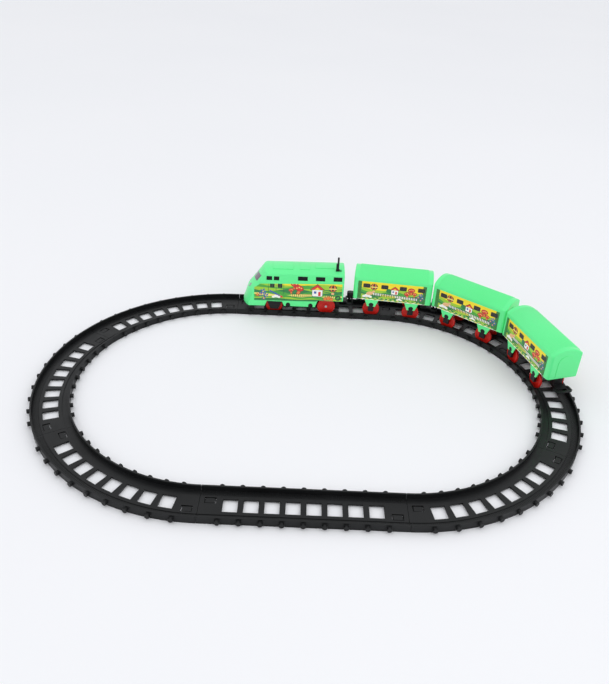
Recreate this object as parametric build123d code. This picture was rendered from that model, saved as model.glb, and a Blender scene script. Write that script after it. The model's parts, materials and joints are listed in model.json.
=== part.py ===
from build123d import *
import math
import os

# Electric toy train set: an oval of eight snap-together track sections, a battery
# locomotive and three identical wagons. Millimetres, +Z up. The origin is the centre
# of the oval on the floor. The train stands on the rear straight (+Y side) with its
# nose towards -X, and the wagons follow it round the right-hand curve.

# ---------------------------------------------------------------- driving dimensions
STRAIGHT = 180.0          # length of a straight section
RADIUS = 174.2            # centreline radius of a curved section
CURVE_ANGLE = 60.0        # turn of one curved section, degrees
TRACK_HALF = 19.15        # half the width over the side walls
WALL = 1.65               # side wall thickness
WALL_TOP = 7.4            # side wall height
DECK_HALF = 11.0          # half width of the raised middle deck
DECK_TOP = 2.8
BAND_TOP = 2.2            # running surface for the wheels
DECK_UNDER = 1.2
JOINT_GAP = 0.15          # half the gap between two sections

WINDOWS = 8               # openings between sleepers, per section
SLEEPER_PITCH = 18.0
SLEEPER_ANGLE = 6.0
WINDOW_LONG = 13.0
WINDOW_WIDE = 15.0
LUG_RADIUS = 2.3
LUG_REACH = 3.0
LUG_Z = 3.9

LATCH_OFFSET = 5.5        # latch hole and tongue, either side of the centreline
LATCH_CENTRE = 9.4        # latch hole centre from the joint
LATCH_LONG = 10.0
LATCH_WIDE = 7.0

WHEEL_RADIUS = 10.4
DRIVE_WHEEL_RADIUS = 11.2
WHEEL_BOTTOM = 2.55
WHEEL_Z = WHEEL_BOTTOM + WHEEL_RADIUS
DRIVE_Z = WHEEL_BOTTOM + DRIVE_WHEEL_RADIUS
RUN_CLEARANCE = 0.05      # radial clearance of a running fit

WAGON_HALF_LENGTH = 47.8
WAGON_HALF_WIDTH = 18.55
WAGON_BOTTOM = 27.5
WAGON_SHOULDER = 56.0
WAGON_TOP = 63.3
WAGON_CORNER = 3.0
SHELL = 1.4               # shell wall thickness
HALF_WHEELBASE = 24.5
WAGON_AXLE_RADIUS = 1.0
STICKER = 0.2             # sticker thickness
STICKER_GAP = 0.02

COUPLER_PEG_X = 53.0      # front peg, ahead of the wagon's centre
COUPLER_EYE_X = 53.5      # rear eye, behind the wagon's centre
LOCO_EYE_X = 51.0
PEG_RADIUS = 1.4
EYE_SLOT_LONG = 14.6      # across the track
EYE_SLOT_WIDE = 5.4       # along the track

# centre point (x, y) and heading of each wagon, on the rear right curve
WAGON_PLACES = ((103.706, 172.090, -6.824), (198.310, 134.218, -38.902), (255.163, 49.664, -73.264))

LOCO_REAR = 42.0
LOCO_HALF = 18.7
LOCO_NOSE = 82.5
NOSE_ARC = 27.0
LOCO_TOP = 61.8
LOCO_RISE = 0.0185        # rise of the roof for each millimetre towards the rear
LOCO_SHOULDER = 56.6
REAR_AXLE_X = 21.4
FRONT_AXLE_X = -43.4
LOCO_AXLE_RADIUS = 1.5

BATTERY_RADIUS = 7.25
BATTERY_LENGTH = 50.5
BATTERY_X = -51.6         # front end of the cell
BATTERY_Z = 16.6

GEAR_MODULE = 0.5
AXLE_TEETH = 36
IDLER_TEETH_SMALL = 10
IDLER_TEETH_LARGE = 36
PINION_TEETH = 8
IDLER_X, IDLER_Z = 12.6, 21.15
MOTOR_X, MOTOR_Z = 21.6, 27.45

LEVER_X, LEVER_Y = 33.0, -9.5
LEVER_PIVOT_Z = 54.0

os.makedirs("parts", exist_ok=True)
written = []


def save(name, shape):
    """Writes one sub-part to its own STEP file."""
    shape.label = name
    export_step(shape, "parts/" + name + ".step")
    written.append(name)


def box(x0, x1, y0, y1, z0, z1):
    """A box from its low and high coordinates."""
    block = Box(x1 - x0, y1 - y0, z1 - z0)
    return Pos((x0 + x1) / 2, (y0 + y1) / 2, (z0 + z1) / 2) * block


def rod(radius, x, z, y0, y1):
    """A cylinder along Y from y0 to y1."""
    return Pos(x, (y0 + y1) / 2, z) * Rot(90, 0, 0) * Cylinder(radius, y1 - y0)


def post(radius, x, y, z0, z1):
    """A cylinder along Z from z0 to z1."""
    return Pos(x, y, (z0 + z1) / 2) * Cylinder(radius, z1 - z0)


def prism_y(points, y0, y1):
    """A polygon of (x, z) points carried along Y from y0 to y1."""
    wire = Polyline(*[(x, y0, z) for x, z in points], close=True)
    return extrude(make_face(wire), y1 - y0, dir=(0, 1, 0))


# ---------------------------------------------------------------- track
def track_profile():
    """The track's cross section as (across, up) points: side walls, bands and deck."""
    inner = TRACK_HALF - WALL
    right = [
        (DECK_HALF, DECK_TOP), (DECK_HALF, BAND_TOP), (inner, BAND_TOP), (inner, WALL_TOP),
        (TRACK_HALF, WALL_TOP), (TRACK_HALF, 0), (inner, 0), (inner, DECK_UNDER),
    ]
    left = [(-across, up) for across, up in reversed(right)]
    return right + left


def along_straight(s, across):
    """Frame on a straight section, s from its middle, X along the track, Y outwards."""
    return Pos(s, across, 0)


def along_curve(s, across):
    """Frame on a curved section, s from its middle in millimetres, turning about the origin."""
    angle = 90 - CURVE_ANGLE / 2 - math.degrees(s / RADIUS)
    reach = RADIUS + across
    turn = math.radians(angle)
    return Pos(reach * math.cos(turn), reach * math.sin(turn), 0) * Rot(0, 0, angle - 90)


def bare_straight():
    wire = Polyline(*[(-STRAIGHT / 2 + JOINT_GAP, y, z) for y, z in track_profile()], close=True)
    return extrude(make_face(wire), STRAIGHT - 2 * JOINT_GAP, dir=(1, 0, 0))


def bare_curve():
    gap = math.degrees(JOINT_GAP / RADIUS)
    wire = Polyline(*[(RADIUS + across, 0, up) for across, up in track_profile()], close=True)
    ring = revolve(make_face(wire), Axis.Z, CURVE_ANGLE - 2 * gap)
    return Rot(0, 0, 90 - CURVE_ANGLE + gap) * ring


def track_section(bare, along, half, pitch):
    """Cuts the sleeper windows and latch holes, adds the side lugs and latch tongues."""
    cutters = []
    for i in range(WINDOWS):
        s = (i - (WINDOWS - 1) / 2) * pitch
        cutters.append(along(s, 0) * Pos(0, 0, DECK_TOP / 2) * Box(WINDOW_LONG, WINDOW_WIDE, 2 * DECK_TOP))
    for end in (-1, 1):
        s = end * (half - LATCH_CENTRE)
        cutters.append(along(s, -end * LATCH_OFFSET) * Box(LATCH_LONG, LATCH_WIDE, 3 * DECK_TOP))
    section = bare - cutters
    lugs = []
    for i in range(WINDOWS + 1):
        s = (i - WINDOWS / 2) * pitch
        for side in (-1, 1):
            middle = side * (TRACK_HALF + LUG_REACH / 2 - WALL / 4)
            lug = Rot(90, 0, 0) * Cylinder(LUG_RADIUS, LUG_REACH + WALL / 2)
            lugs.append(along(s, middle) * Pos(0, 0, LUG_Z) * lug)
    tongues = []
    for end in (-1, 1):
        frame = along(end * half, end * LATCH_OFFSET)
        root = box(-6, -0.5, -3.0, 3.0, 0.15, DECK_UNDER + 0.2)
        blade = box(-6, 13.6, -3.0, 3.0, 0.15, 1.0)
        nub = box(LATCH_CENTRE - 4.2, LATCH_CENTRE + 4.0, -2.7, 2.7, 1.0, DECK_TOP - 0.3)
        flip = Rot(0, 0, 0 if end == 1 else 180)
        tongues.append(frame * flip * (root + blade + nub))
    return section + lugs + tongues


straight = track_section(bare_straight(), along_straight, STRAIGHT / 2, SLEEPER_PITCH)
curve_pitch = RADIUS * math.radians(SLEEPER_ANGLE)
curve_half = RADIUS * math.radians(CURVE_ANGLE) / 2
curve = track_section(bare_curve(), along_curve, curve_half, curve_pitch)

right_names = ("track_curve_right_rear", "track_curve_right_middle", "track_curve_right_front")
left_names = ("track_curve_left_front", "track_curve_left_middle", "track_curve_left_rear")
half_turn = Rot(0, 0, 180)
save("track_straight_rear", Pos(0, RADIUS, 0) * straight)
save("track_straight_front", half_turn * Pos(0, RADIUS, 0) * straight)
for i in range(3):
    placed = Pos(STRAIGHT / 2, 0, 0) * Rot(0, 0, -CURVE_ANGLE * i) * curve
    save(right_names[i], placed)
    save(left_names[i], half_turn * placed)


# ---------------------------------------------------------------- wheels and gears
def wheel(radius, z, x, y_inner, y_outer, bore, hub_reach):
    """A disc wheel with bevelled tread edges and a dished outer face; y_outer is its face."""
    side = 1 if y_outer > y_inner else -1
    low, high = min(y_inner, y_outer), max(y_inner, y_outer)
    tread = rod(radius, x, z, low, high)
    tread = chamfer(tread.edges().filter_by(GeomType.CIRCLE), 0.5)
    dish_depth = 0.7
    dish_floor = y_outer - side * dish_depth
    ring = rod(radius - 1.9, x, z, *sorted((dish_floor, y_outer)))
    tread = tread - ring
    hub = rod(bore + 1.7, x, z, *sorted((dish_floor, y_outer + side * hub_reach)))
    return tread + hub - rod(bore, x, z, -40, 40)


def gear(teeth, x, z, y0, y1, phase_degrees, bore):
    """A spur gear with straight-flanked teeth, one tooth centred at the phase angle."""
    pitch_radius = GEAR_MODULE * teeth / 2
    tip = pitch_radius + 0.72 * GEAR_MODULE
    root = pitch_radius - 1.05 * GEAR_MODULE
    tooth_angle = 2 * math.pi / teeth
    outline = []
    for i in range(teeth):
        middle = math.radians(phase_degrees) + i * tooth_angle
        for reach, share in ((root, -0.27), (tip, -0.13), (tip, 0.13), (root, 0.27)):
            angle = middle + share * tooth_angle
            outline.append((x + reach * math.cos(angle), z + reach * math.sin(angle)))
    return prism_y(outline, y0, y1) - rod(bore, x, z, y0 - 1, y1 + 1)


# ---------------------------------------------------------------- wagons
def wagon_volume(inset, floor):
    """The wagon's outer shape, arched roof and rounded corners, shrunk by inset."""
    half = WAGON_HALF_WIDTH - inset
    length = WAGON_HALF_LENGTH - inset
    shoulder = WAGON_SHOULDER - inset / 2
    base = Line((-length, -half, floor), (-length, half, floor))
    right_side = Line((-length, half, floor), (-length, half, shoulder))
    roof = ThreePointArc((-length, half, shoulder), (-length, 0, WAGON_TOP - inset), (-length, -half, shoulder))
    left_side = Line((-length, -half, shoulder), (-length, -half, floor))
    section = make_face([base, right_side, roof, left_side])
    solid = extrude(section, 2 * length, dir=(1, 0, 0))
    corners = solid.edges().filter_by(Axis.Z)
    return fillet(corners, WAGON_CORNER - inset)


def keyhole(y0, y1, head, block_half, block_low):
    """Axle-box shape at x = 0: a round head over a square block."""
    head_z = 20.3
    return rod(head, 0, head_z, y0, y1) + box(-block_half, block_half, y0, y1, block_low, head_z)


def wagon_shell():
    outer = wagon_volume(0, WAGON_BOTTOM)
    roof_ends = outer.edges().filter_by(GeomType.CIRCLE).group_by(Axis.Z)[-1]
    outer = fillet(roof_ends, 1.4) if len(roof_ends) == 2 else outer
    for end in (-1, 1):
        face_x = end * WAGON_HALF_LENGTH
        panel = box(min(face_x, face_x + end * 0.4), max(face_x, face_x + end * 0.4), -9.5, 9.5, 29.5, 46)
        arch = Pos(face_x + end * 0.2, 0, 46) * Rot(0, 90, 0) * Cylinder(9.5, 0.4)
        outer = outer + panel + (arch & box(face_x - 2, face_x + 2, -10, 10, 45.9, 60))
    for axle in (-HALF_WHEELBASE, HALF_WHEELBASE):
        top, tip = 8.5, 4.9
        outline = [(axle - top, WAGON_BOTTOM), (axle - tip, 18.2), (axle + tip, 18.2), (axle + top, WAGON_BOTTOM)]
        for side in (-1, 1):
            faces = sorted((side * WAGON_HALF_WIDTH, side * (WAGON_HALF_WIDTH - SHELL)))
            skirt = prism_y(outline, faces[0], faces[1])
            notch = rod(3.0, axle, 20.3, faces[0] - 1, faces[1] + 1)
            notch = notch + box(axle - 2.1, axle + 2.1, faces[0] - 1, faces[1] + 1, 17, 20.3)
            outer = outer + (skirt - notch)
    return outer - wagon_volume(SHELL, WAGON_BOTTOM - 1)


def eye_plate(x, z0, z1):
    """Coupler eye: a plate with a slot that runs across the track."""
    plate = box(x - 4.6, x + 4.6, -9.6, 9.6, z0, z1)
    plate = fillet(plate.edges().filter_by(Axis.Z), 2.5)
    slot = box(x - EYE_SLOT_WIDE / 2, x + EYE_SLOT_WIDE / 2, -EYE_SLOT_LONG / 2, EYE_SLOT_LONG / 2, z0 - 1, z1 + 1)
    return plate - slot


def wagon_chassis():
    floor_low, floor_high = WAGON_BOTTOM + 0.1, WAGON_BOTTOM + 1.7
    reach_x = WAGON_HALF_LENGTH - SHELL - 0.15
    reach_y = WAGON_HALF_WIDTH - SHELL - 0.15
    body = box(-reach_x, reach_x, -reach_y, reach_y, floor_low, floor_high)
    body = fillet(body.edges().filter_by(Axis.Z), 1.6)
    for axle in (-HALF_WHEELBASE, HALF_WHEELBASE):
        for side in (-1, 1):
            inner, outer = side * 15.5, side * 16.9
            leg = box(axle - 3.5, axle + 3.5, min(inner, outer), max(inner, outer), 11.2, floor_low)
            face = side * 18.3
            boss = Pos(axle, 0, 0) * keyhole(min(inner, face), max(inner, face), 2.6, 1.9, 17.0)
            block = box(axle - 3.5, axle + 3.5, min(inner, face), max(inner, face), 11.2, 17.9)
            body = body + leg + boss + block
            end = side * 17.7
            bore = rod(WAGON_AXLE_RADIUS + RUN_CLEARANCE, axle, WHEEL_Z, min(0, end), max(0, end))
            body = body - bore
    rear_drop = box(37.0, 44.0, -5.0, 5.0, 15.2, floor_low)
    rear_bar = box(37.0, COUPLER_EYE_X - 4.0, -5.0, 5.0, 15.2, 17.2)
    body = body + rear_drop + rear_bar + eye_plate(COUPLER_EYE_X, 15.2, 17.2)
    front_drop = box(-44.0, -37.0, -4.0, 4.0, 17.8, floor_low)
    front_bar = box(-COUPLER_PEG_X, -37.0, -3.2, 3.2, 19.0, 26.0)
    head = post(3.2, -COUPLER_PEG_X, 0, 17.8, 26.0)
    peg = post(PEG_RADIUS, -COUPLER_PEG_X, 0, 13.0, 18.0)
    spine = box(-37.0, 37.0, -3.0, 3.0, 22.5, floor_low)
    return body + front_drop + front_bar + head + peg + spine


def wagon_sticker(side):
    inner = side * (WAGON_HALF_WIDTH + STICKER_GAP)
    outer = side * (WAGON_HALF_WIDTH + STICKER_GAP + STICKER)
    return box(-42.6, 40.6, min(inner, outer), max(inner, outer), WAGON_BOTTOM + 0.2, 52.4)


def wheel_pair(axle):
    left = wheel(WHEEL_RADIUS, WHEEL_Z, axle, 12.4, 15.0, WAGON_AXLE_RADIUS, 0.2)
    right = wheel(WHEEL_RADIUS, WHEEL_Z, axle, -12.4, -15.0, WAGON_AXLE_RADIUS, 0.2)
    return Compound(children=[left, right])


shell = wagon_shell()
chassis = wagon_chassis()
for number, (x, y, heading) in enumerate(WAGON_PLACES, start=1):
    place = Pos(x, y, 0) * Rot(0, 0, heading)
    prefix = "wagon_" + str(number) + "_"
    save(prefix + "body", place * shell)
    save(prefix + "chassis", place * chassis)
    save(prefix + "sticker_left", place * wagon_sticker(-1))
    save(prefix + "sticker_right", place * wagon_sticker(1))
    for end, axle in (("front", -HALF_WHEELBASE), ("rear", HALF_WHEELBASE)):
        save(prefix + end + "_axle", place * rod(WAGON_AXLE_RADIUS, axle, WHEEL_Z, -17.5, 17.5))
        save(prefix + end + "_wheels", place * wheel_pair(axle))


# ---------------------------------------------------------------- locomotive
def loco_section(inset, x):
    """Cross section at x: sides that lean in slightly, a short shoulder and an arched roof."""
    half = LOCO_HALF - inset
    lift = LOCO_RISE * x
    low, belt = 6.0, 30.0 + lift
    shoulder, shoulder_y = LOCO_SHOULDER - inset / 2 + lift, half - 0.6
    edge_y, edge_z = 16.7 - inset, 59.0 - inset + lift
    turn_y, turn_z = (shoulder_y + edge_y) / 2 + 0.45, (shoulder + edge_z) / 2 + 0.4
    points = [(x, half, low), (x, half, belt), (x, shoulder_y, shoulder), (x, edge_y, edge_z)]
    mirrored = [(a, -b, c) for a, b, c in points]
    right = [Line(points[0], points[1]), Line(points[1], points[2])]
    left = [Line(mirrored[2], mirrored[1]), Line(mirrored[1], mirrored[0])]
    turn_right = ThreePointArc(points[2], (x, turn_y, turn_z), points[3])
    roof = ThreePointArc(points[3], (x, 0, LOCO_TOP - inset + lift), mirrored[3])
    turn_left = ThreePointArc(mirrored[3], (x, -turn_y, turn_z), mirrored[2])
    floor = Line(mirrored[0], points[0])
    return make_face(right + [turn_right, roof, turn_left] + left + [floor])


def nose_outline(tip_x, z, inset):
    """Plan outline at height z: a round nose with its tip at tip_x, open to the rear."""
    half = LOCO_HALF + 2.0
    arc = NOSE_ARC - inset
    recess = arc - math.sqrt(arc * arc - half * half)
    front = ThreePointArc((tip_x + recess, half, z), (tip_x, 0, z), (tip_x + recess, -half, z))
    back_x = LOCO_REAR + 60
    rest = Polyline((tip_x + recess, -half, z), (back_x, -half, z), (back_x, half, z), (tip_x + recess, half, z))
    return make_face([front, rest])


def loco_volume(inset):
    """The body's outer shape, shrunk by inset: three nose stages cut by the cross section."""
    rear = LOCO_REAR - inset
    front = -90.0
    slant = math.hypot(1, LOCO_RISE)
    body = extrude(loco_section(inset, front), (rear - front) * slant, dir=(1 / slant, 0, LOCO_RISE / slant))
    tip = -LOCO_NOSE + 1.15 * inset
    stages = ((0.0, 16.0, 0.0), (16.0, 34.0, 5.8), (34.0, 70.0, 26.0))
    nose = None
    for low, high, lean in stages:
        height = high - low
        travel = math.hypot(height, lean)
        stage = extrude(nose_outline(tip, low, inset), travel, dir=(lean / travel, 0, height / travel))
        nose = stage if nose is None else nose + stage
        tip = tip + lean
    return body & nose


def under_cut():
    """What the lower edge of the shell leaves open: front wheel arch, skirt and rear."""
    edge = [
        (-100, 0), (-100, 12.8), (-55.0, 13.4), (-52.4, 20.3), (-33.6, 20.3), (-31.0, 14.2),
        (7.5, 14.2), (10.5, 23.7), (80, 23.7), (80, 0),
    ]
    return prism_y(edge, -30, 30)


STUDS = ((-26.0, 16.4), (1.9, 16.4))
SIDE_WINDOWS = (
    (-53.2, -46.3, 49.0, 54.4), (-44.2, -37.6, 49.0, 54.4),
    (-14.8, -2.9, 49.8, 55.6), (7.0, 18.4, 50.2, 56.0), (28.6, 39.2, 50.6, 56.6),
)
SCREWS = ((-63.0, 9.0), (-63.0, -9.0), (37.4, 12.0), (37.4, -12.0))
HEADLAMPS = ((-7.5, 36.5), (7.5, 36.5))


def windscreen_prism(grow):
    """Space of the two windscreen panes, side by side on the sloping nose."""
    left = box(-90, -40, -13.6 - grow, -0.9 + grow, 45.0 - grow, 52.4 + grow)
    right = box(-90, -40, 0.9 - grow, 13.6 + grow, 45.0 - grow, 52.4 + grow)
    return left + right


ROOF_PADS = ((-46.0, -21.0, -9.5), (-13.2, -0.7, -9.5), (6.0, 29.0, -6.0))   # x from and to, near edge y


def shell_body():
    outer_sharp = loco_volume(0)
    at_rear = lambda edge: abs(edge.center().X - LOCO_REAR) < 0.01 and edge.center().Z > 20
    outer = fillet(outer_sharp.edges().filter_by(at_rear), 1.6)
    pads = [box(x0, x1, near, 9.5, 50, 66) for x0, x1, near in ROOF_PADS]
    pad_volume = loco_volume(-0.5) & (pads[0] + pads[1] + pads[2])
    body = outer + pad_volume - loco_volume(1.5)
    bosses = []
    for x, y in SCREWS:
        bosses.append(post(2.6, x, y, 25.8, 60) & outer_sharp)
    lugs = box(LEVER_X - 3.5, LEVER_X + 3.5, LEVER_Y - 3.0, LEVER_Y - 1.8, 51.5, 62)
    lugs = lugs + box(LEVER_X - 3.5, LEVER_X + 3.5, LEVER_Y + 1.8, LEVER_Y + 3.0, 51.5, 62)
    body = body + bosses + (lugs & outer_sharp)
    body = body - under_cut()
    body = body - box(LEVER_X - 2.2, LEVER_X + 5.0, LEVER_Y - 1.8, LEVER_Y + 1.8, 50, 68)
    body = body - rod(1.2 + RUN_CLEARANCE, LEVER_X, LEVER_PIVOT_Z, LEVER_Y - 4, LEVER_Y + 4)
    for x, y in SCREWS:
        body = body - post(1.0, x, y, 20, 34)
    for x0, x1, z0, z1 in SIDE_WINDOWS:
        body = body - box(x0, x1, -30, 30, z0, z1)
    for x, z in STUDS:
        body = body - rod(2.7, x, z, -30, 30) - box(x - 2.7, x + 2.7, -30, 30, 10, z)
    body = body - (windscreen_prism(0.1) - loco_volume(0.9))
    for y, z in HEADLAMPS:
        drill = Pos(-70, y, z) * Rot(0, 90, 0) * Cylinder(2.3, 40)
        body = body - (drill - loco_volume(0.9))
    return body


def window_strips():
    """One strip per side, behind the wall, with a raised pane in each window opening."""
    strips = []
    room, wall = loco_volume(1.6), loco_volume(0.5)
    low, high = 48.0, 57.4
    for side in (-1, 1):
        strip = room & box(-52.0, 40.0, *sorted((side * 14.6, side * 20.0)), low, high)
        for x0, x1, z0, z1 in SIDE_WINDOWS:
            pane = box(x0 + 0.1, x1 - 0.1, *sorted((side * 15.2, side * 20.0)), z0 + 0.1, z1 - 0.1)
            strip = strip + (wall & pane)
        strips.append(strip)
    return Compound(children=[piece for strip in strips for piece in strip.solids()])


def windscreen():
    skin = loco_volume(0.05) - loco_volume(0.85)
    return skin & windscreen_prism(0)


def headlamps():
    lamps = []
    skin = loco_volume(-0.2) - loco_volume(0.85)
    for y, z in HEADLAMPS:
        drill = Pos(-70, y, z) * Rot(0, 90, 0) * Cylinder(2.2, 40)
        lamps.append(skin & drill)
    return lamps


def loco_sticker(side):
    """Follows the side wall, with a slanted front end."""
    outline = [(-68.0, 20.9), (-68.0, 38.0), (-60.4, 43.8), (39.8, 47.4), (40.2, 24.2), (10.8, 24.0), (8.6, 22.4)]
    skin = loco_volume(-STICKER - STICKER_GAP) - loco_volume(-STICKER_GAP)
    y0, y1 = sorted((side * 10.0, side * 25.0))
    return skin & prism_y(outline, y0, y1)


def loco_chassis():
    """Chassis plate with the battery box, gearbox walls, wheel bosses and rear coupler eye."""
    plate_low, plate_high = 24.0, 25.6
    outline = [
        (-72, -11), (-72, 11), (-66, 16.5), (-60, 17.0),
        (40.3, 17.0), (40.3, -17.0), (-60, -17.0), (-66, -16.5),
    ]
    wire = Polyline(*[(x, y, plate_low) for x, y in outline], close=True)
    body = extrude(make_face(wire), plate_high - plate_low, dir=(0, 0, 1))
    body = body - box(2.4, 33.4, -10.4, 10.4, 20, 30)
    for side in (-1, 1):
        slot = sorted((side * 10.9, side * 15.4))
        body = body - box(8.6, 34.2, slot[0], slot[1], 20, 30)
        body = body - box(FRONT_AXLE_X - 12, FRONT_AXLE_X + 12, slot[0], slot[1], 20, 30)
    body = body + box(-58.4, 2.0, -9.2, 9.2, 9.4, plate_low + 0.3)
    body = body + box(2.0, 38.0, -9.3, 5.3, 8.0, 17.2)
    body = body + box(9.6, 13.8, -9.3, 5.3, 17.0, 24.4)
    body = body + box(34.0, 38.0, -9.3, 5.3, 17.0, plate_low + 0.3)
    body = body - box(3.4, 34.0, -7.3, 3.3, 9.4, 30)
    for side in (-1, 1):
        body = body + rod(3.2, FRONT_AXLE_X, WHEEL_Z, *sorted((side * 8.0, side * 10.8)))
    body = body - box(-57.0, 0.8, -7.7, 7.7, 9.0, 30)
    for side in (-1, 1):
        body = body - rod(LOCO_AXLE_RADIUS, FRONT_AXLE_X, WHEEL_Z, *sorted((side * 8.0, side * 12.0)))
        for x, z in STUDS:
            ear = sorted((side * 15.4, side * 16.9))
            stud = sorted((side * 15.4, side * 18.9))
            body = body + box(x - 3, x + 3, ear[0], ear[1], z, plate_low + 0.5)
            body = body + rod(2.4, x, z, stud[0], stud[1])
    body = body - rod(LOCO_AXLE_RADIUS + RUN_CLEARANCE, REAR_AXLE_X, DRIVE_Z, -12, 12)
    body = body - rod(1.0, IDLER_X, IDLER_Z, 3.5, 6.0)
    rear_bar = box(37.0, LOCO_EYE_X - 4.0, -5.0, 5.0, 15.2, 17.2)
    body = body + (rear_bar + eye_plate(LOCO_EYE_X, 15.2, 17.2))
    for x, y in SCREWS:
        body = body - post(1.2, x, y, 20, 30)
    return body


def motor():
    """Flat-sided can with an end boss; its shaft turns in the boss."""
    can = rod(10.0, MOTOR_X, MOTOR_Z, -9.2, 4.4) & box(MOTOR_X - 7.5, MOTOR_X + 7.5, -20, 20, 0, 60)
    boss = rod(3.0, MOTOR_X, MOTOR_Z, 4.4, 5.2)
    terminals = box(MOTOR_X - 5, MOTOR_X - 3.5, -10.2, -9.2, MOTOR_Z + 4, MOTOR_Z + 7)
    terminals = terminals + box(MOTOR_X + 3.5, MOTOR_X + 5, -10.2, -9.2, MOTOR_Z + 4, MOTOR_Z + 7)
    return can + boss + terminals - rod(1.0 + RUN_CLEARANCE, MOTOR_X, MOTOR_Z, 0.5, 6)


def contact(x0, x1, bow):
    """A bent leaf contact between x0 and x1, bowed towards the cell."""
    leaf = 0.4
    side = 1 if bow > 0 else -1
    back = box(min(x0, x0 + side * leaf), max(x0, x0 + side * leaf), -6.5, 6.5, 10.2, 23.0)
    foot = box(min(x0, x1), max(x0, x1), -3.0, 3.0, 10.2, 10.6)
    tip = box(min(x1 - side * leaf, x1), max(x1 - side * leaf, x1), -3.0, 3.0, 10.2, 19.0)
    return back + foot + tip


def lever():
    """Power lever: a stepped mast with a foot, on trunnions under the roof."""
    tail = box(-1.5, 1.5, -1.5, 1.5, -5.5, 7.9)
    mast = box(-1.8, 1.6, -1.5, 1.5, 7.6, 16.5)
    foot = box(-1.8, 2.6, -1.5, 1.5, 7.6, 9.0)
    upper = box(-0.6, 1.6, -1.1, 1.1, 16.0, 25.0)
    upper = fillet(upper.edges().group_by(Axis.Z)[-1], 0.5)
    trunnion = rod(1.2, 0, 0, -3.0, 3.0)
    return Pos(LEVER_X, LEVER_Y, LEVER_PIVOT_Z) * (tail + mast + foot + upper + trunnion)


def switch_contact():
    """Leaf contact hung from the lever's lugs, below the tail of the lever."""
    front, leaf = LEVER_X - 3.4, 0.4
    blade = box(front, LEVER_X + 1.5, LEVER_Y - 3.0, LEVER_Y + 3.0, 46.6, 46.6 + leaf)
    return blade + box(front, front + leaf, LEVER_Y - 3.0, LEVER_Y + 3.0, 46.6, 51.5)


def bearing_cover(side):
    """Trapezoid cover outside the front wheel with a tab up to the chassis plate."""
    outline = [(-52.0, 20.0), (-34.0, 20.0), (-37.8, 9.2), (-47.9, 9.2)]
    cover = prism_y(outline, *sorted((side * 15.5, side * 18.0)))
    tab = box(-48.0, -38.8, *sorted((side * 15.5, side * 16.9)), 19.0, 24.0)
    return cover + tab - rod(LOCO_AXLE_RADIUS, FRONT_AXLE_X, WHEEL_Z, *sorted((side * 10.0, side * 17.0)))


def screws():
    group = []
    for x, y in SCREWS:
        group.append(post(1.0, x, y, 23.0, 33.0) + post(2.1, x, y, 22.6, 24.0))
    return Compound(children=group)


loco = Pos(0, RADIUS, 0)
save("loco_body", loco * shell_body())
save("loco_side_windows", loco * window_strips())
save("loco_windscreen", loco * windscreen())
save("loco_headlamps", loco * Compound(children=[s for lamp in headlamps() for s in lamp.solids()]))
save("loco_sticker_left", loco * loco_sticker(-1))
save("loco_sticker_right", loco * loco_sticker(1))
save("loco_chassis", loco * loco_chassis())
save("loco_battery_door", loco * box(-57.8, 1.6, -9.0, 9.0, 7.8, 9.2))
cell = Pos(BATTERY_X + BATTERY_LENGTH / 2, 0, BATTERY_Z) * Rot(0, 90, 0) * Cylinder(BATTERY_RADIUS, BATTERY_LENGTH - 1)
cell_tip = Pos(BATTERY_X + BATTERY_LENGTH - 0.5, 0, BATTERY_Z) * Rot(0, 90, 0) * Cylinder(2.75, 1)
save("loco_battery_cell", loco * (cell + cell_tip))
save("loco_battery_contact_front", loco * contact(-56.9, BATTERY_X + 0.4, 1))
save("loco_battery_contact_rear", loco * box(-1.05, 0.75, -5.5, 5.5, 12.0, 21.5))
save("loco_drive_motor", loco * motor())
save("loco_motor_shaft", loco * rod(1.0, MOTOR_X, MOTOR_Z, 0.7, 9.6))

to_idler = math.degrees(math.atan2(IDLER_Z - DRIVE_Z, IDLER_X - REAR_AXLE_X))
to_motor = math.degrees(math.atan2(MOTOR_Z - IDLER_Z, MOTOR_X - IDLER_X))
small_phase = to_idler + 180 + 180 / IDLER_TEETH_SMALL
pinion_phase = to_motor + 180 + 180 / PINION_TEETH
save("loco_axle_gear", loco * gear(AXLE_TEETH, REAR_AXLE_X, DRIVE_Z, 5.6, 7.2, to_idler, LOCO_AXLE_RADIUS))
idler_bore = 1.0 + RUN_CLEARANCE
idler_small = gear(IDLER_TEETH_SMALL, IDLER_X, IDLER_Z, 5.6, 7.4, small_phase, idler_bore)
idler_large = gear(IDLER_TEETH_LARGE, IDLER_X, IDLER_Z, 7.4, 9.1, to_motor, idler_bore)
save("loco_idler_gear", loco * (idler_small + idler_large))
save("loco_idler_pin", loco * rod(1.0, IDLER_X, IDLER_Z, 3.5, 9.5))
save("loco_motor_pinion", loco * gear(PINION_TEETH, MOTOR_X, MOTOR_Z, 7.5, 9.1, pinion_phase, 1.0))
save("loco_rear_axle", loco * rod(LOCO_AXLE_RADIUS, REAR_AXLE_X, DRIVE_Z, -15.2, 15.2))
for side, label in ((-1, "left"), (1, "right")):
    drive = wheel(DRIVE_WHEEL_RADIUS, DRIVE_Z, REAR_AXLE_X, side * 11.2, side * 14.6, LOCO_AXLE_RADIUS, 0.3)
    save("loco_rear_wheel_" + label, loco * drive)
    bore = LOCO_AXLE_RADIUS + RUN_CLEARANCE
    idle = wheel(WHEEL_RADIUS, WHEEL_Z, FRONT_AXLE_X, side * 11.2, side * 14.6, bore, 0.3)
    save("loco_front_wheel_" + label, loco * idle)
    save("loco_bearing_cover_" + label, loco * bearing_cover(side))
stubs = [rod(LOCO_AXLE_RADIUS, FRONT_AXLE_X, WHEEL_Z, *sorted((side * 8.0, side * 17.0))) for side in (-1, 1)]
save("loco_front_stub_axles", loco * Compound(children=stubs))
save("loco_power_lever", loco * lever())
save("loco_switch_contact", loco * switch_contact())
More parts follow.
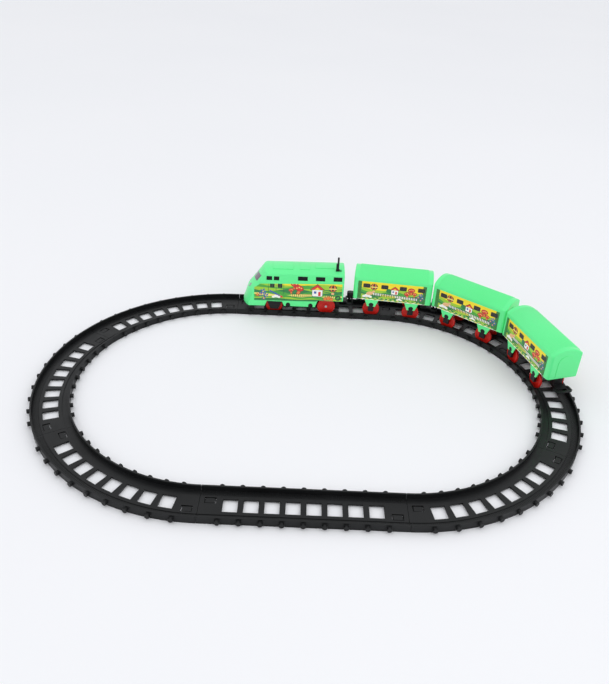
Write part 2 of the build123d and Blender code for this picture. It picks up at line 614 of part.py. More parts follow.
save("loco_screws", loco * screws())

print(len(written), "nodes written")
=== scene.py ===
import json
import math

import bpy
import numpy as np
from mathutils import Matrix, Vector


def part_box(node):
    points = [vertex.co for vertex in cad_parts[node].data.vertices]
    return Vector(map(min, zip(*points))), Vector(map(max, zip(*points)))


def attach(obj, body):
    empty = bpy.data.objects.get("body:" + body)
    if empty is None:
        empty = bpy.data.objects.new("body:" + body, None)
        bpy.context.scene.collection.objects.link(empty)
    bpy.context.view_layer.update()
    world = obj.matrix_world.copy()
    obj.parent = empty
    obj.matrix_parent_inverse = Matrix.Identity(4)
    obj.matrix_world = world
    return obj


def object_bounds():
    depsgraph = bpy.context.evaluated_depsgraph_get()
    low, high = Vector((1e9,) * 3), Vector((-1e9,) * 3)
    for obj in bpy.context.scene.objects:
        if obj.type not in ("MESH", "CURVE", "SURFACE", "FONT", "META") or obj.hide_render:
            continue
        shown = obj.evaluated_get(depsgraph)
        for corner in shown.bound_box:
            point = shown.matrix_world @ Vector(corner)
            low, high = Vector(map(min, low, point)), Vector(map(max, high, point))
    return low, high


# A battery train set: three wagons behind a locomotive on an oval of track. The packed
# model carries the shapes; this script gives them their plastics, printed stickers, ribs
# and studio. Shapes are worked out in millimetres in a car's or a section's own frame.

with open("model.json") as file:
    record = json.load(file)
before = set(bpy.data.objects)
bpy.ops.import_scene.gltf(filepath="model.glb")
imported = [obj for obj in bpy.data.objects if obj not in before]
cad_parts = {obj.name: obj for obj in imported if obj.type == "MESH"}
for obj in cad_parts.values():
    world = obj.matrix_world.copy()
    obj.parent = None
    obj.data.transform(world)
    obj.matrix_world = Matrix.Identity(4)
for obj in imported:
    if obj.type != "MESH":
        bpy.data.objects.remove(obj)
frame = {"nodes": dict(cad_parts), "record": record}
cad_low, cad_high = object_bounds()
record = frame["record"]
joint_at = {j["name"]: Vector(j["pos_m"]) for j in record["behaviour"]["joints"] if "pos_m" in j}
slot_of = {part["node"]: part["material_slot"] for part in record["subparts"]}

MM = 0.001


# ---------------------------------------------------------------- where things stand
class Place:
    """A flat frame on the floor: an origin and a heading; local millimetres go to metres."""

    def __init__(self, origin, heading):
        self.origin = np.array([origin[0], origin[1], 0.0])
        self.heading = heading
        cosine, sine = math.cos(heading), math.sin(heading)
        self.turn = np.array([[cosine, -sine, 0.0], [sine, cosine, 0.0], [0.0, 0.0, 1.0]])

    def put(self, points):
        return np.asarray(points) * MM @ self.turn.T + self.origin


def wagon_place(number):
    """Midway between a wagon's axles, heading from its front axle to its rear one."""
    front = joint_at[f"wagon_{number}_front_axle_spin"]
    rear = joint_at[f"wagon_{number}_rear_axle_spin"]
    middle, along = (front + rear) / 2, rear - front
    return Place((middle.x, middle.y), math.atan2(along.y, along.x))


LOCO_REAR = 42.0
loco_low, loco_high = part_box("loco_body")
loco_place = Place((loco_high[0] - LOCO_REAR * MM, (loco_low[1] + loco_high[1]) / 2), 0.0)
wagon_places = {number: wagon_place(number) for number in (1, 2, 3)}
TRACK_RADIUS = loco_place.origin[1] / MM
HALF_STRAIGHT = 90.0


# ---------------------------------------------------------------- surfaces from numbers
def piece_from(name, points, faces, body, slot, smooth=True):
    """One mesh piece at the origin, from metres and face corners, riding on a body."""
    mesh = bpy.data.meshes.new(name)
    mesh.from_pydata(points.tolist(), [], faces)
    mesh.polygons.foreach_set("use_smooth", [smooth] * len(mesh.polygons))
    mesh.update()
    piece = bpy.data.objects.new(name, mesh)
    bpy.context.scene.collection.objects.link(piece)
    piece.data.materials.append(finishes[slot])
    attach(piece, body)
    return piece


def skin(rings, first=0):
    """Faces over a stack of equal closed rings: quads between neighbours and a cap at each end.

    Ring r holds points r*m .. r*m+m-1. Rings run so that the next ring lies on the side
    from which the points turn anticlockwise, which makes every face point outwards.
    """
    count, around = rings.shape[:2]
    number = first + np.arange(count * around).reshape(count, around)
    after = np.roll(number, -1, axis=1)
    quads = np.stack([number[:-1], after[:-1], after[1:], number[1:]], axis=-1)
    faces = quads.reshape(-1, 4).tolist()
    faces.append(number[0][::-1].tolist())
    faces.append(number[-1].tolist())
    return faces


# ---------------------------------------------------------------- inks and finishes
def ink(red, green, blue):
    """A display colour from 0 to 255 as linear light."""
    shades = np.array([red, green, blue]) / 255.0
    linear = np.where(shades <= 0.04045, shades / 12.92, ((shades + 0.055) / 1.055) ** 2.4)
    return (*linear.tolist(), 1.0)


class Finish:
    """A material and a few short ways to add and join its nodes."""

    def __init__(self, name):
        self.material = bpy.data.materials.new(name)
        self.material.use_nodes = True
        self.nodes = self.material.node_tree.nodes
        self.links = self.material.node_tree.links
        self.shader = self.nodes["Principled BSDF"]
        self.object_place = self.add("ShaderNodeTexCoord").outputs["Object"]

    def add(self, kind, **settings):
        node = self.nodes.new(kind)
        for key, value in settings.items():
            setattr(node, key, value)
        return node

    def join(self, source, target):
        if isinstance(source, bpy.types.NodeSocket):
            self.links.new(source, target)
        else:
            target.default_value = source

    def math(self, operation, *values):
        node = self.add("ShaderNodeMath", operation=operation)
        for value, socket in zip(values, node.inputs):
            self.join(value, socket)
        return node.outputs[0]

    def mapped(self, vector, location=(0, 0, 0), turn=(0, 0, 0), scale=(1, 1, 1)):
        """Scaled, then turned, then moved."""
        node = self.add("ShaderNodeMapping")
        self.join(vector, node.inputs["Vector"])
        node.inputs["Location"].default_value = location
        node.inputs["Rotation"].default_value = turn
        node.inputs["Scale"].default_value = scale
        return node.outputs[0]

    def noise(self, scale, detail=2.0, roughness=0.5, vector=None):
        node = self.add("ShaderNodeTexNoise")
        self.join(self.object_place if vector is None else vector, node.inputs["Vector"])
        node.inputs["Scale"].default_value = scale
        node.inputs["Detail"].default_value = detail
        node.inputs["Roughness"].default_value = roughness
        return node.outputs["Fac"]

    def between(self, factor, low, high):
        """A number from low to high as the factor goes from 0.3 to 0.7."""
        node = self.add("ShaderNodeMapRange")
        for value, socket in zip((factor, 0.3, 0.7, low, high), node.inputs):
            self.join(value, socket)
        return node.outputs[0]

    def mix(self, factor, below, above):
        node = self.add("ShaderNodeMix", data_type="RGBA")
        self.join(factor, node.inputs[0])
        self.join(below, node.inputs[6])
        self.join(above, node.inputs[7])
        return node.outputs[2]

    def relief(self, height, distance, strength=1.0, edge=0.0):
        """Bump from a height, over edges rounded by a radius in metres."""
        bump = self.add("ShaderNodeBump")
        self.join(height, bump.inputs["Height"])
        bump.inputs["Strength"].default_value = strength
        bump.inputs["Distance"].default_value = distance
        if edge:
            bevel = self.add("ShaderNodeBevel", samples=4)
            bevel.inputs["Radius"].default_value = edge
            self.join(bevel.outputs[0], bump.inputs["Normal"])
        self.join(bump.outputs[0], self.shader.inputs["Normal"])

    def set(self, **values):
        for key, value in values.items():
            self.join(value, self.shader.inputs[key.replace("_", " ")])


GRAIN_DEPTH = 0.00002     # metres
SCRATCH_DEPTH = 0.00001
SCRATCH_SCALE = 600.0


def moulded(name, base, cast, rough, grain=900.0, edge=0.00025, coat=0.0, flow=14.0, shine=0.5):
    """Injection-moulded plastic: slow flow marks in the colour and a fine surface grain."""
    finish = Finish(name)
    marks = finish.noise(flow, detail=3.0)
    grain_height = finish.noise(grain, detail=2.0, roughness=0.6)
    colour = finish.mix(finish.between(marks, 0.0, 1.0), base, cast)
    finish.set(Base_Color=colour, Roughness=finish.between(finish.noise(60.0), rough - 0.05, rough + 0.06))
    finish.set(Coat_Weight=coat, Coat_Roughness=0.18, Specular_IOR_Level=shine)
    finish.relief(grain_height, GRAIN_DEPTH, 0.6, edge)
    return finish


def metal(name, base, cast, rough, stretch=(1.0, 1.0, 1.0)):
    """Drawn or plated metal with fine marks along the way it was worked."""
    finish = Finish(name)
    stretched = finish.mapped(finish.object_place, scale=stretch)
    lines = finish.noise(SCRATCH_SCALE, detail=3.0, vector=stretched)
    finish.set(Base_Color=finish.mix(lines, base, cast), Metallic=1.0)
    finish.set(Roughness=finish.between(lines, rough - 0.08, rough + 0.1))
    finish.relief(lines, SCRATCH_DEPTH, 0.5, 0.00015)
    return finish


SLEEVE_BAND_START = 0.72    # share of the cell's length that is blue
CELL_TIP_LONG = 2.2


def battery_sleeve(name):
    """A printed sleeve: blue, then a light band and the bare tip, with fine flecks."""
    finish = Finish(name)
    low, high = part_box("loco_battery_cell")
    along = finish.add("ShaderNodeSeparateXYZ")
    finish.join(finish.object_place, along.inputs[0])
    band_start = low[0] + SLEEVE_BAND_START * (high[0] - low[0])
    band = finish.math("GREATER_THAN", along.outputs[0], band_start)
    tip = finish.math("GREATER_THAN", along.outputs[0], high[0] - CELL_TIP_LONG * MM)
    flecks = finish.noise(800.0)
    sleeve = finish.mix(band, ink(38, 70, 130), ink(205, 172, 88))
    sleeve = finish.mix(tip, sleeve, ink(190, 190, 190))
    finish.set(Base_Color=finish.mix(finish.between(flecks, 0.0, 0.12), sleeve, ink(240, 240, 240)))
    finish.set(Roughness=finish.between(flecks, 0.24, 0.32), Coat_Weight=0.4)
    finish.relief(flecks, SCRATCH_DEPTH, 0.4)
    return finish


made = {
    "shell_green": moulded(
        "shell_green", ink(90, 243, 143), ink(98, 248, 152), 0.36, edge=0.0003, coat=0.25),
    "track_black": moulded(
        "track_black", ink(17, 18, 19), ink(26, 27, 28), 0.42, grain=1200.0, shine=0.26),
    "chassis_black": moulded("chassis_black", ink(16, 16, 18), ink(24, 25, 26), 0.4, shine=0.3),
    "wheel_red": moulded("wheel_red", ink(196, 24, 16), ink(212, 34, 24), 0.34, flow=40.0, shine=0.35),
    "window_black": moulded("window_black", ink(12, 15, 16), ink(18, 21, 22), 0.3, shine=0.2),
    "windscreen_grey": moulded("windscreen_grey", ink(92, 84, 96), ink(112, 102, 112), 0.2, coat=0.5),
    "lamp_lens": moulded("lamp_lens", ink(120, 150, 132), ink(150, 176, 158), 0.12, coat=0.8),
    "sticker_print": moulded("sticker_print", ink(120, 180, 60), ink(140, 200, 70), 0.3, coat=0.4),
    "gear_white": moulded("gear_white", ink(226, 224, 214), ink(236, 234, 226), 0.45, flow=60.0),
    "axle_steel": metal("axle_steel", ink(196, 196, 198), ink(170, 170, 174), 0.3, (1, 30, 30)),
    "motor_can": metal("motor_can", ink(188, 188, 184), ink(166, 166, 164), 0.36, (30, 1, 30)),
    "contact_nickel": metal("contact_nickel", ink(214, 210, 198), ink(190, 186, 176), 0.24),
    "screw_steel": metal("screw_steel", ink(186, 188, 192), ink(150, 152, 156), 0.34),
    "battery_wrap": battery_sleeve("battery_wrap"),
}
finishes = {name: finish.material for name, finish in made.items()}


# ---------------------------------------------------------------- printed stickers
PETALS = 5.0
PICKET_LEAN = 0.18        # sideways for each millimetre up


class Print(Finish):
    """A glossy printed sticker, painted shape over shape in a car's own millimetres."""

    def __init__(self, name, place, paper):
        super().__init__(name)
        origin = Vector(place.turn.T @ place.origin) / MM
        spot = self.mapped(self.object_place, location=-origin, turn=(0, 0, -place.heading),
                           scale=(1 / MM, 1 / MM, 1 / MM))
        split = self.add("ShaderNodeSeparateXYZ")
        self.join(spot, split.inputs[0])
        self.x, self.z = split.outputs[0], split.outputs[2]
        flat = self.add("ShaderNodeCombineXYZ")
        self.join(self.x, flat.inputs[0])
        self.join(self.z, flat.inputs[1])
        self.spot = flat.outputs[0]
        self.colour = paper

    def paint(self, mask, colour):
        self.colour = self.mix(mask, self.colour, colour)

    def unit(self, x, z, half_x, half_z, lean):
        """The sticker's place measured from (x, z), turned by lean degrees, in half sizes."""
        shifted = self.mapped(self.spot, location=(-x, -z, 0))
        turned = self.mapped(shifted, turn=(0, 0, -math.radians(lean)))
        return self.mapped(turned, scale=(1 / half_x, 1 / half_z, 0))

    def disc(self, colour, x, z, half_x, half_z=None, lean=0.0):
        """An ellipse: the length of the place in half sizes is under one."""
        size = self.add("ShaderNodeVectorMath", operation="LENGTH")
        self.join(self.unit(x, z, half_x, half_z or half_x, lean), size.inputs[0])
        self.paint(self.math("LESS_THAN", size.outputs["Value"], 1.0), colour)

    def block(self, colour, x, z, half_x, half_z, lean=0.0):
        """A block with soft corners: the sum of both places to the eighth power is under one."""
        sides = self.add("ShaderNodeSeparateXYZ")
        self.join(self.unit(x, z, half_x, half_z, lean), sides.inputs[0])
        eighth = [self.math("POWER", self.math("ABSOLUTE", s), 8.0) for s in sides.outputs[:2]]
        self.paint(self.math("LESS_THAN", self.math("ADD", *eighth), 1.0), colour)

    def gable(self, colour, x, z, half_x, height):
        """A triangle on the line z: above it, and its height plus its distance out is under one."""
        sides = self.add("ShaderNodeSeparateXYZ")
        self.join(self.unit(x, z, half_x, height, 0.0), sides.inputs[0])
        reach = self.math("ADD", self.math("ABSOLUTE", sides.outputs[0]), sides.outputs[1])
        above = self.math("GREATER_THAN", sides.outputs[1], 0.0)
        self.paint(self.math("MULTIPLY", above, self.math("LESS_THAN", reach, 1.0)), colour)

    def hill(self, colour, level, rise, width, shift):
        """Everything below a sine line round a level."""
        angle = self.math("MULTIPLY_ADD", self.x, 1 / width, shift)
        line = self.math("MULTIPLY_ADD", self.math("SINE", angle), rise, level)
        self.paint(self.math("LESS_THAN", self.z, line), colour)

    def pickets(self, colour, x0, x1, level, slope, half_height, pitch, share):
        """Leaning stakes: even stripes along x, kept near a sloping line and from x0 to x1."""
        line = self.math("MULTIPLY_ADD", self.x, slope, level)
        away = self.math("ABSOLUTE", self.math("SUBTRACT", self.z, line))
        near = self.math("LESS_THAN", away, half_height)
        leaning = self.math("MULTIPLY_ADD", self.z, PICKET_LEAN, self.x)
        stripe = self.math("LESS_THAN", self.math("FRACT", self.math("DIVIDE", leaning, pitch)), share)
        past_start = self.math("GREATER_THAN", self.x, x0)
        before_end = self.math("LESS_THAN", self.x, x1)
        inside = self.math("MULTIPLY", past_start, before_end)
        self.paint(self.math("MULTIPLY", inside, self.math("MULTIPLY", near, stripe)), colour)

    def flower(self, colour, x, z, radius, lean=0.0):
        """Petals: the distance out is under a cosine of the angle times the number of petals."""
        sides = self.add("ShaderNodeSeparateXYZ")
        spot = self.unit(x, z, radius, radius, lean)
        self.join(spot, sides.inputs[0])
        size = self.add("ShaderNodeVectorMath", operation="LENGTH")
        self.join(spot, size.inputs[0])
        angle = self.math("ARCTAN2", sides.outputs[1], sides.outputs[0])
        waves = self.math("COSINE", self.math("MULTIPLY", angle, PETALS))
        edge = self.math("MULTIPLY_ADD", waves, 0.3, 0.7)
        self.paint(self.math("LESS_THAN", size.outputs["Value"], edge), colour)

    def seal(self):
        """The film over the print: gloss with slight waves, and fine ink dots in the colour."""
        dots = self.noise(2600.0, detail=0.0)
        faded = self.mix(self.between(dots, 0.0, 0.05), self.colour, ink(255, 255, 255))
        waves = self.noise(90.0, detail=2.0)
        self.set(Base_Color=faded, Roughness=self.between(waves, 0.26, 0.36))
        self.set(Coat_Weight=0.1, Coat_Roughness=0.15, Specular_IOR_Level=0.3)
        self.relief(waves, 0.00003, 0.5)
        return self.material


WHITE, CREAM, YELLOW = ink(250, 250, 245), ink(248, 232, 120), ink(252, 226, 22)
LIME, LEAF, FOREST, PINE = ink(158, 206, 44), ink(66, 168, 54), ink(26, 128, 62), ink(16, 80, 42)
BLACK, BROWN, ORANGE, PEACH = ink(18, 18, 17), ink(74, 44, 30), ink(232, 128, 48), ink(240, 186, 132)
RED, DARK_RED, BLUE, VIOLET = ink(220, 36, 30), ink(130, 26, 24), ink(54, 92, 168), ink(112, 62, 140)


def paint_balloon(art, x, z, size):
    """A striped balloon with its basket and ropes."""
    art.block(BLACK, x - 0.32 * size, z - 1.05 * size, 0.2, 0.45 * size, 8)
    art.block(BLACK, x + 0.32 * size, z - 1.05 * size, 0.2, 0.45 * size, -8)
    art.disc(BROWN, x, z, size, 0.92 * size)
    art.disc(ORANGE, x, z, 0.66 * size, 0.9 * size)
    art.disc(BROWN, x, z, 0.3 * size, 0.9 * size)
    art.block(CREAM, x, z - 0.12 * size, 0.97 * size, 0.14 * size)
    art.block(PEACH, x, z - 1.42 * size, 0.34 * size, 0.26 * size)


def paint_toadstool(art, x, z, size, lean=0.0):
    """A red cap with pale spots on an orange stem, outlined dark."""
    art.block(DARK_RED, x, z - 1.0 * size, 0.5 * size, 1.0 * size, lean)
    art.block(ORANGE, x, z - 1.0 * size, 0.36 * size, 0.9 * size, lean)
    art.disc(DARK_RED, x, z, 1.3 * size, 0.88 * size, lean)
    art.disc(RED, x, z, 1.15 * size, 0.74 * size, lean)
    for side in (-0.6, 0.05, 0.62):
        art.disc(CREAM, x + side * size, z + (0.25 - abs(side) * 0.4) * size, 0.2 * size, 0.15 * size)


def paint_house(art, x, z, size):
    """A white cottage with a red roof over a yellow gable."""
    art.block(BLACK, x, z, 1.06 * size, 0.86 * size)
    art.block(WHITE, x, z, 0.98 * size, 0.78 * size)
    art.gable(BLACK, x, z + 0.6 * size, 1.5 * size, 1.25 * size)
    art.gable(RED, x, z + 0.66 * size, 1.3 * size, 1.05 * size)
    art.gable(YELLOW, x, z + 0.66 * size, 0.6 * size, 0.46 * size)
    art.block(RED, x + 0.42 * size, z - 0.22 * size, 0.24 * size, 0.46 * size)
    art.block(BLUE, x - 0.42 * size, z + 0.05 * size, 0.24 * size, 0.24 * size)


def paint_posy(art, x, z, size):
    """Blue and violet flowers with yellow hearts."""
    blooms = ((0, 0, 1.0, BLUE), (-0.9, -1.0, 0.8, VIOLET), (0.8, -1.2, 0.85, BLUE), (0.2, -2.2, 0.7, VIOLET))
    for dx, dz, share, colour in blooms:
        art.flower(colour, x + dx * size, z + dz * size, share * size, 40 * dx)
        art.disc(YELLOW, x + dx * size, z + dz * size, 0.22 * size)


def paint_cloud(art, x, z, size):
    """Three flat white puffs."""
    for dx, dz, share in ((-0.9, 0, 0.6), (0, 0.3, 0.85), (0.9, 0, 0.6)):
        art.disc(WHITE, x + dx * size, z + dz * size, share * size, 0.6 * share * size)


# each hill: its ink, level, rise, width of its wave and shift of its wave
WAGON_HILLS = (
    (LIME, 43.2, 1.6, 9.0, 0.4), (LEAF, 39.6, 2.4, 7.5, 1.3), (FOREST, 36.6, 1.8, 6.0, 2.4),
    (LIME, 34.2, 1.4, 8.0, 0.7), (FOREST, 32.0, 1.2, 5.0, 0.2), (LEAF, 30.2, 0.7, 3.4, 1.6),
    (CREAM, 28.7, 0.5, 1.0, 0.0), (WHITE, 28.2, 0.4, 1.4, 0.6))
CAR_WINDOWS = (-32.0, -10.0, 12.5, 34.6)


def wagon_print(number):
    """The wagon's side: sky, hills, woods, windows, balloon, cottage, toadstools and fence."""
    art = Print(f"sticker_wagon_{number}", wagon_places[number], YELLOW)
    for hill in WAGON_HILLS:
        art.hill(*hill)
    for middle, half in ((-40.4, 2.4), (38.6, 2.2)):
        art.block(PINE, middle, 40.6, half, 12.6)
        art.pickets(LEAF, middle - half, middle + half, 40.6, 0.0, 12.2, 1.5, 0.4)
    for x in CAR_WINDOWS:
        art.block(BLACK, x, 46.8, 4.3, 2.8)
    paint_cloud(art, -30.5, 32.0, 4.0)
    art.disc(PEACH, -27.5, 36.5, 4.6, 2.4, 12)
    paint_balloon(art, -23.0, 46.0, 4.6)
    art.disc(FOREST, -4.5, 42.0, 3.4, 3.0)
    paint_house(art, 2.6, 41.2, 4.2)
    paint_toadstool(art, 22.6, 45.8, 3.3)
    paint_toadstool(art, 18.0, 40.6, 3.0, 14)
    paint_toadstool(art, 26.8, 41.2, 2.3, -10)
    art.pickets(BLACK, -24.0, 31.5, 35.2, -0.045, 2.0, 2.1, 0.74)
    art.pickets(WHITE, -24.0, 31.5, 35.2, -0.045, 1.6, 2.1, 0.5)
    art.pickets(YELLOW, -14.0, 4.0, 34.5, -0.045, 1.4, 2.1, 0.42)
    paint_posy(art, 34.4, 40.2, 3.0)
    paint_cloud(art, 9.0, 31.0, 2.6)
    art.pickets(CREAM, -37.0, 33.0, 30.2, -0.01, 0.4, 5.4, 0.5)
    return art.seal()


LOCO_HILLS = (
    (LIME, 44.2, 1.5, 13.0, 0.2), (LEAF, 41.6, 2.2, 10.0, 2.0), (LIME, 39.0, 1.2, 15.0, 0.4),
    (FOREST, 36.6, 2.4, 11.0, 3.2), (LEAF, 33.2, 1.7, 7.0, 1.1), (CREAM, 30.6, 1.1, 9.0, 2.2),
    (LEAF, 28.6, 1.1, 6.0, 0.3), (LIME, 26.0, 0.8, 4.5, 1.0), (FOREST, 24.5, 0.6, 8.0, 0.5))


def loco_print():
    """The locomotive's side: hills, doors, flowers, toadstools, fences, cottage and balloon."""
    art = Print("sticker_loco", loco_place, YELLOW)
    for hill in LOCO_HILLS:
        art.hill(*hill)
    for x in (-50.6, -41.2, -31.8):
        art.block(PINE, x, 38.6, 0.22, 8.2)
    art.block(PINE, -41.2, 46.4, 9.4, 0.2)
    for x in (-46.0, -36.4):
        art.block(PINE, x, 42.2, 2.9, 3.1)
        art.block(BLACK, x, 42.2, 2.5, 2.7)
        art.block(FOREST, x, 42.2, 0.16, 2.6)
    paint_posy(art, -57.0, 33.4, 4.2)
    art.flower(RED, -64.2, 28.6, 2.6, 20)
    art.disc(YELLOW, -64.2, 28.6, 0.6)
    art.block(BLUE, -43.0, 31.8, 7.0, 1.0, -28)
    art.block(VIOLET, -37.4, 28.8, 2.6, 0.7, -28)
    art.disc(RED, -34.4, 27.2, 1.8, 1.2, -28)
    paint_cloud(art, -41.0, 26.6, 3.6)
    paint_toadstool(art, -18.6, 45.0, 3.6)
    paint_toadstool(art, -13.0, 39.8, 4.6, -22)
    paint_toadstool(art, -22.6, 37.0, 2.6, 8)
    art.pickets(BLACK, -23.0, 2.0, 30.6, 0.05, 2.1, 2.4, 0.7)
    art.pickets(CREAM, -23.0, 2.0, 30.6, 0.05, 1.6, 2.4, 0.46)
    for x, half in ((24.0, 8.0), (20.0, 6.0), (31.0, 6.5)):
        art.disc(FOREST, x, 30.0 + half, half, 0.7, -6)
    paint_house(art, 9.6, 34.6, 6.4)
    art.pickets(BLACK, 19.0, 30.0, 30.8, -0.04, 1.7, 2.4, 0.7)
    art.pickets(CREAM, 19.0, 30.0, 30.8, -0.04, 1.2, 2.4, 0.46)
    paint_balloon(art, 28.6, 41.2, 5.0)
    for x, z, size in ((19.6, 26.6, 2.2), (23.8, 27.6, 2.6), (27.4, 26.2, 1.9)):
        art.disc(DARK_RED, x, z, size + 0.3)
        art.disc(ORANGE, x, z, size)
    art.disc(PINE, 35.2, 28.4, 3.6)
    art.disc(LEAF, 35.2, 28.4, 2.2, 1.2, 30)
    return art.seal()


prints = {f"wagon_{number}": wagon_print(number) for number in wagon_places}
prints["loco"] = loco_print()


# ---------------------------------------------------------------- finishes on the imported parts
for node, thing in frame["nodes"].items():
    finish = finishes[slot_of[node]]
    if "_sticker_" in node:
        finish = prints[node.split("_sticker_")[0]]
    for held in thing.material_slots:
        held.material = finish


# ---------------------------------------------------------------- ribs on the track bands
RIB_PITCH = 1.7
RIB_STEPS = ((0.0, 0.0), (0.22, 1.0), (0.6, 1.0), (0.82, 0.0))   # shares of pitch and rise
RIB_END_SPACE = 1.0       # left bare, both ends of a section together
BAND_FLOOR, BAND_TOP, RIB_RISE = 2.0, 2.21, 0.24
BAND_INNER, BAND_OUTER = 11.25, 17.25
CURVE = math.radians(60.0)


def rib_rings(length, across_low, across_high, bend):
    """Rings for a ribbed band, length long, round a bend of that radius (0 for straight).

    Each ring is a rectangle across the track whose top goes up and down in trapezoid ribs
    along the path; the path is a line, or a circle about the origin, centred on +Y.
    """
    count = int((length - RIB_END_SPACE) / RIB_PITCH)
    start = -count * RIB_PITCH / 2
    steps = np.array(RIB_STEPS)
    along = (start + RIB_PITCH * (np.arange(count)[:, None] + steps[None, :, 0])).ravel()
    top = BAND_TOP + RIB_RISE * np.tile(steps[:, 1], count)
    across = np.array([across_low, across_low, across_high, across_high])
    high = np.stack([np.full_like(top, BAND_FLOOR), top, top, np.full_like(top, BAND_FLOOR)], axis=1)
    s = np.broadcast_to(along[:, None], high.shape)
    v = np.broadcast_to(across[None, :], high.shape)
    if bend:
        angle = math.pi / 2 - s / bend
        return np.stack([(bend + v) * np.cos(angle), (bend + v) * np.sin(angle), high], axis=-1)
    return np.stack([s, TRACK_RADIUS + v, high], axis=-1)


def track_ribs(name, centre_x, turn, bend, bands):
    """The ribbed running bands of one section, turned about the centre of its curve."""
    place = Place((centre_x * MM, 0.0), turn)
    points, faces = [], []
    for low, high in bands:
        rings = rib_rings(CURVE * bend if bend else 2 * HALF_STRAIGHT, low, high, bend)
        faces += skin(rings, sum(len(p) for p in points))
        points.append(place.put(rings.reshape(-1, 3)))
    return piece_from(name, np.concatenate(points), faces, "track", "track_black", smooth=False)


BOTH_BANDS = ((-BAND_OUTER, -BAND_INNER), (BAND_INNER, BAND_OUTER))
track_ribs("track_ribs_straight_rear", 0.0, 0.0, 0.0, BOTH_BANDS)
track_ribs("track_ribs_straight_front", 0.0, math.pi, 0.0, BOTH_BANDS)
for step, part in enumerate(("rear", "middle", "front")):
    turn = -CURVE * (step + 0.5)
    track_ribs(f"track_ribs_right_{part}", HALF_STRAIGHT, turn, TRACK_RADIUS, BOTH_BANDS[1:])
for step, part in enumerate(("front", "middle", "rear")):
    turn = math.pi - CURVE * (step + 0.5)
    track_ribs(f"track_ribs_left_{part}", -HALF_STRAIGHT, turn, TRACK_RADIUS, BOTH_BANDS[1:])


# ---------------------------------------------------------------- ribbed wagon roofs
ROOF_HALF, ROOF_SHOULDER, ROOF_TOP = 18.55, 56.0, 63.3
ROOF_RIBS = 29
ROOF_RISE = 0.42
ROOF_FRONT, ROOF_REAR = -42.0, 42.0
ROOF_RUN_IN = 0.6         # length over which the ribs rise at each end
ROOF_LIFT, ROOF_SINK = 0.02, 0.3    # top of the sheet above the roof, underside below it
ROOF_EDGE_ANGLE = 0.035   # the sheet stops this short of the shoulder, radians
WAVE_STEPS = 6            # points for each rib


def roof_rings():
    """Four rings of a ribbed sheet on the barrel roof, flush at both ends.

    The roof is the circle through its shoulders and top. Round it the sheet's height is a
    raised cosine of the angle, one wave for each rib, and its underside is sunk in the roof.
    """
    rise = ROOF_TOP - ROOF_SHOULDER
    radius = (ROOF_HALF**2 + rise**2) / (2 * rise)
    centre = ROOF_TOP - radius
    reach = math.asin(ROOF_HALF / radius) - ROOF_EDGE_ANGLE
    angle = np.linspace(-reach, reach, ROOF_RIBS * WAVE_STEPS + 1)
    wave = 0.5 - 0.5 * np.cos(2 * math.pi * ROOF_RIBS * (angle + reach) / (2 * reach))
    stations = ((ROOF_FRONT, 0.0), (ROOF_FRONT + ROOF_RUN_IN, 1.0),
                (ROOF_REAR - ROOF_RUN_IN, 1.0), (ROOF_REAR, 0.0))
    rings = []
    for x, share in stations:
        upper = radius + ROOF_LIFT + share * ROOF_RISE * wave
        lower = np.full_like(upper, radius - ROOF_SINK)
        round_angle = np.concatenate([angle, angle[::-1]])
        reach_out = np.concatenate([upper, lower])
        ring = [np.full_like(reach_out, x), -reach_out * np.sin(round_angle),
                centre + reach_out * np.cos(round_angle)]
        rings.append(np.stack(ring, axis=-1))
    return np.array(rings)


rings = roof_rings()
for number, place in wagon_places.items():
    piece_from(f"wagon_{number}_roof_ribs", place.put(rings.reshape(-1, 3)), skin(rings),
               f"wagon_{number}", "shell_green")


# ---------------------------------------------------------------- studio
FLOOR_DROP = 0.0002       # the floor lies this far under the track, metres


def floor_finish():
    """A pale matt floor with very slow changes of shade."""
    finish = Finish("studio_floor")
    cloud = finish.noise(1.2, detail=2.0)
    finish.set(Base_Color=finish.mix(cloud, ink(240, 241, 244), ink(246, 246, 248)), Roughness=0.85)
    return finish.material


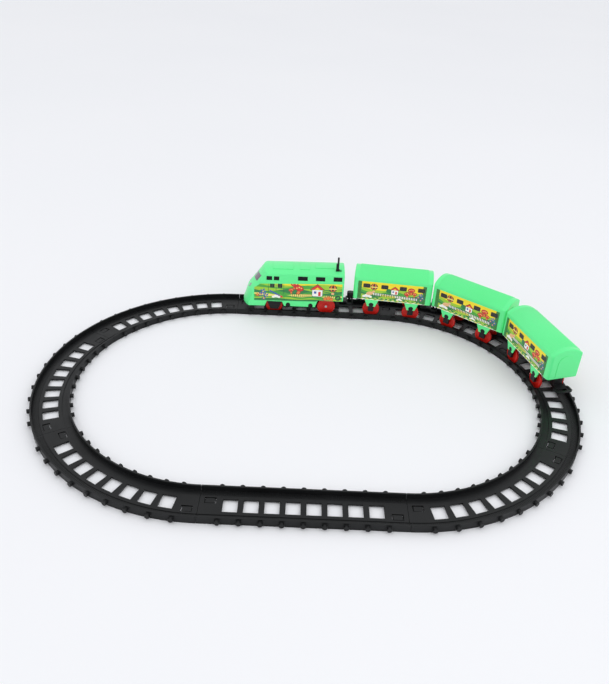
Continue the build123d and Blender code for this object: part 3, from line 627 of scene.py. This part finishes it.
def studio_floor(half=9.0, cells=24):
    """A flat sheet of square cells on the level the track stands on."""
    line = np.linspace(-half, half, cells + 1)
    x, y = np.meshgrid(line, line)
    points = np.stack([x, y, np.full_like(x, cad_low[2] - FLOOR_DROP)], axis=-1).reshape(-1, 3)
    number = np.arange(points.shape[0]).reshape(x.shape)
    corners = [number[:-1, :-1], number[:-1, 1:], number[1:, 1:], number[1:, :-1]]
    mesh = bpy.data.meshes.new("studio_floor")
    mesh.from_pydata(points.tolist(), [], np.stack(corners, axis=-1).reshape(-1, 4).tolist())
    mesh.materials.append(floor_finish())
    floor = bpy.data.objects.new("studio_floor", mesh)
    bpy.context.scene.collection.objects.link(floor)


def soft_light(name, location, target, size, power):
    """A square soft box at a location, facing a target."""
    lamp = bpy.data.lights.new(name, "AREA")
    lamp.size, lamp.energy = size, power
    thing = bpy.data.objects.new(name, lamp)
    thing.location = location
    thing.rotation_euler = (Vector(target) - Vector(location)).to_track_quat("-Z", "Y").to_euler()
    bpy.context.scene.collection.objects.link(thing)


def studio_camera(location, yaw, pitch, roll, lens):
    """A camera with its heading from +Y, its tilt below the horizon and its roll, in degrees."""
    yaw, pitch, roll = (math.radians(value) for value in (yaw, pitch, roll))
    ahead = Vector((math.sin(yaw) * math.cos(pitch), math.cos(yaw) * math.cos(pitch), -math.sin(pitch)))
    right = Vector((math.cos(yaw), -math.sin(yaw), 0.0))
    up = right.cross(ahead)
    side = right * math.cos(roll) + up * math.sin(roll)
    top = up * math.cos(roll) - right * math.sin(roll)
    data = bpy.data.cameras.new("studio_camera")
    data.lens, data.sensor_width, data.clip_start = lens, 36.0, 0.01
    camera = bpy.data.objects.new("studio_camera", data)
    camera.matrix_world = Matrix.Translation(location) @ Matrix((side, top, -ahead)).transposed().to_4x4()
    bpy.context.scene.collection.objects.link(camera)
    bpy.context.scene.camera = camera


studio_floor()
soft_light("soft_box_left", (-0.8, -0.6, 2.0), target=(0.0, 0.25, 0.0), size=2.8, power=4.6)
soft_light("soft_box_right", (1.6, -0.8, 1.2), target=(0.1, 0.1, 0.0), size=1.6, power=5.5)
world = bpy.data.worlds.new("studio_air")
bpy.context.scene.world = world
world.use_nodes = True
air = world.node_tree.nodes["Background"]
air.inputs["Color"].default_value = (0.97, 0.98, 1.0, 1.0)
air.inputs["Strength"].default_value = 0.93
bpy.context.scene.view_settings.view_transform = "Standard"
studio_camera((-0.00976, -0.60377, 0.44548), yaw=0.494, pitch=32.479, roll=2.762, lens=36.845)
